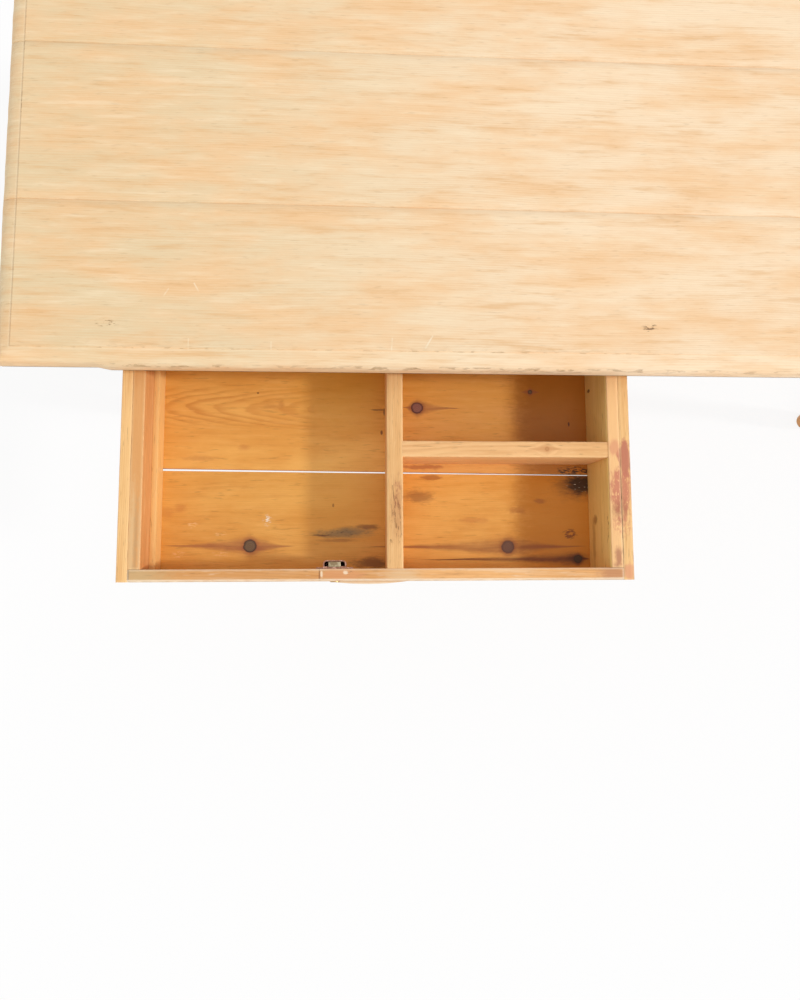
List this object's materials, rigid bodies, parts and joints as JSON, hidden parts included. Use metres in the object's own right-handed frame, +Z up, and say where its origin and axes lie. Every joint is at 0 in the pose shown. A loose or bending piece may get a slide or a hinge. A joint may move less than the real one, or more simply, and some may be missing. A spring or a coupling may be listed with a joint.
{
  "type": "kitchen table with drawers",
  "caption": "Scrubbed pine kitchen table on turned legs, with drawers side by side in its front; the open one is divided into compartments and has a lock.",
  "frame": {"origin": "on the floor, under the middle of the table top", "axes": "+X along the table's length, to the right as seen from the drawers; -Y towards the drawer fronts; +Z up"},
  "size_m": [1.544, 1.031, 0.77],
  "materials": {
    "top_pine": "scrubbed, pale",
    "frame_pine": "waxed",
    "inner_pine": "sawn, bare",
    "peg_wood": "waxed end grain",
    "drawer_pine": "waxed, worn",
    "floor_pine": "oiled, worn",
    "iron": "dull",
    "steel": "worn",
    "brass": "tarnished"
  },
  "bodies": {
    "table": {"apron_back": "frame_pine", "apron_left": "frame_pine", "apron_right": "frame_pine", "drawer_stops": "inner_pine", "front_bottom_rail": "frame_pine", "front_muntin": "frame_pine", "front_top_rail": "frame_pine", "guide_centre": "inner_pine", "guide_left": "inner_pine", "guide_right": "inner_pine", "joint_pegs": "peg_wood", "kicker_centre": "inner_pine", "kicker_left": "inner_pine", "kicker_right": "inner_pine", "leg_back_left": "frame_pine", "leg_back_right": "frame_pine", "leg_front_left": "frame_pine", "leg_front_right": "frame_pine", "runner_centre": "inner_pine", "runner_left": "inner_pine", "runner_right": "inner_pine", "top_plank_1": "top_pine", "top_plank_2": "top_pine", "top_plank_3": "top_pine", "top_plank_4": "top_pine", "top_screws": "iron"},
    "left_drawer": {"left_drawer_back": "drawer_pine", "left_drawer_bottom_front": "floor_pine", "left_drawer_bottom_middle": "floor_pine", "left_drawer_bottom_rear": "floor_pine", "left_drawer_cross_divider": "drawer_pine", "left_drawer_divider": "drawer_pine", "left_drawer_escutcheon": "brass", "left_drawer_front": "drawer_pine", "left_drawer_lining_left": "drawer_pine", "left_drawer_lining_right": "drawer_pine", "left_drawer_lock_case": "brass", "left_drawer_lock_screws": "iron", "left_drawer_nails": "iron", "left_drawer_outer_side_left": "drawer_pine", "left_drawer_outer_side_right": "drawer_pine", "left_drawer_pull": "drawer_pine", "left_drawer_slip_left": "drawer_pine", "left_drawer_slip_right": "drawer_pine"},
    "left_lock_bolt": {"left_drawer_lock_bolt": "steel"},
    "right_drawer": {"right_drawer_back": "drawer_pine", "right_drawer_bottom_front": "floor_pine", "right_drawer_bottom_middle": "floor_pine", "right_drawer_bottom_rear": "floor_pine", "right_drawer_escutcheon": "brass", "right_drawer_front": "drawer_pine", "right_drawer_lining_left": "drawer_pine", "right_drawer_lining_right": "drawer_pine", "right_drawer_lock_case": "brass", "right_drawer_lock_screws": "iron", "right_drawer_nails": "iron", "right_drawer_outer_side_left": "drawer_pine", "right_drawer_outer_side_right": "drawer_pine", "right_drawer_pull": "drawer_pine"},
    "right_lock_bolt": {"right_drawer_lock_bolt": "steel"}
  },
  "joints": [
    {"name": "left_drawer_slide", "type": "slide", "parent": "table", "child": "left_drawer", "axis": [0, -1, 0], "range_m": [-0.321, 0.049]},
    {"name": "right_drawer_slide", "type": "slide", "parent": "table", "child": "right_drawer", "axis": [0, -1, 0], "range_m": [0, 0.37]},
    {"name": "left_bolt_slide", "type": "slide", "parent": "left_drawer", "child": "left_lock_bolt", "axis": [0, 0, 1], "range_m": [0, 0.008]},
    {"name": "right_bolt_slide", "type": "slide", "parent": "right_drawer", "child": "right_lock_bolt", "axis": [0, 0, 1], "range_m": [0, 0.008]}
  ]
}
